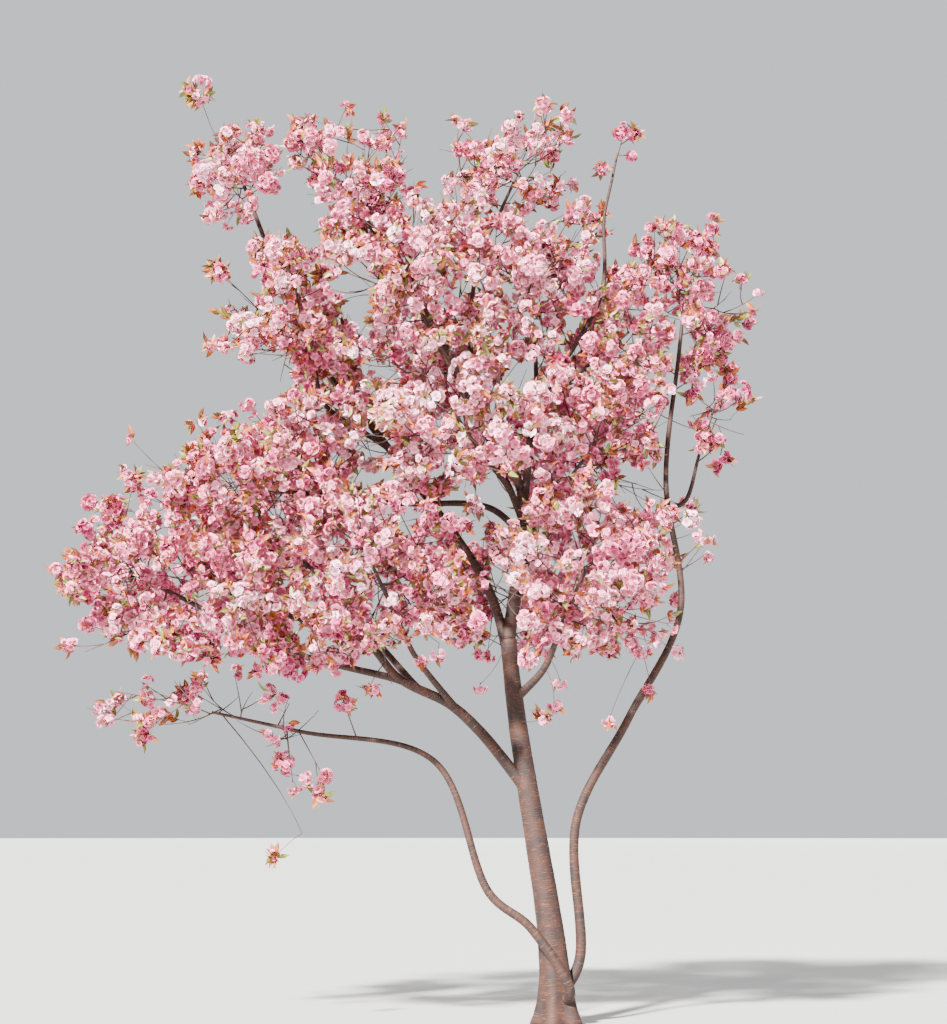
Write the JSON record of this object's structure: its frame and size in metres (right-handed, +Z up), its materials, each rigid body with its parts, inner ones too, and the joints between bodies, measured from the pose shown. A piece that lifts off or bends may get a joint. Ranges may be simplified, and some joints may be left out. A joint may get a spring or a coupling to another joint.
{
  "type": "cherry blossom tree",
  "caption": "Double pink flowering cherry in full bloom with coppery young leaves, on a leaning low-forked trunk with ascending boughs, rooted in level ground.",
  "frame": {"origin": "middle of the flat cut under the trunk, at ground level", "axes": "+Z up; the picture is taken looking along +Y, and +X is to its right"},
  "size_m": [6.0699, 3.4766, 8.1909],
  "materials": {
    "bark": "rough, with cross bands",
    "blossom": "matt petals"
  },
  "bodies": {
    "root": {"back_left_bough": "bark", "back_low_bough": "bark", "back_right_bough": "bark", "back_up_bough": "bark", "blossom_back_left": "blossom", "blossom_back_low": "blossom", "blossom_back_right": "blossom", "blossom_back_up": "blossom", "blossom_centre_front": "blossom", "blossom_far_left": "blossom", "blossom_far_right": "blossom", "blossom_leader_tip": "blossom", "blossom_left_shoulder": "blossom", "blossom_left_upper": "blossom", "blossom_low_skirt": "blossom", "blossom_lower_centre": "blossom", "blossom_lower_left": "blossom", "blossom_lower_right": "blossom", "blossom_right_inner": "blossom", "blossom_right_middle": "blossom", "blossom_top_centre": "blossom", "blossom_top_inner_left": "blossom", "blossom_top_left": "blossom", "blossom_upper_centre": "blossom", "blossom_upper_mid": "blossom", "blossom_upper_right": "blossom", "centre_bough": "bark", "far_left_bough": "bark", "far_right_bough": "bark", "leader": "bark", "left_leader": "bark", "left_low_bough": "bark", "left_middle_bough": "bark", "left_upper_bough": "bark", "low_left_stem": "bark", "lower_centre_bough": "bark", "lower_right_bough": "bark", "right_inner_bough": "bark", "right_leader": "bark", "right_middle_bough": "bark", "right_stem": "bark", "top_centre_bough": "bark", "top_left_bough": "bark", "trunk": "bark", "upper_centre_bough": "bark", "upper_mid_bough": "bark"}
  },
  "joints": []
}
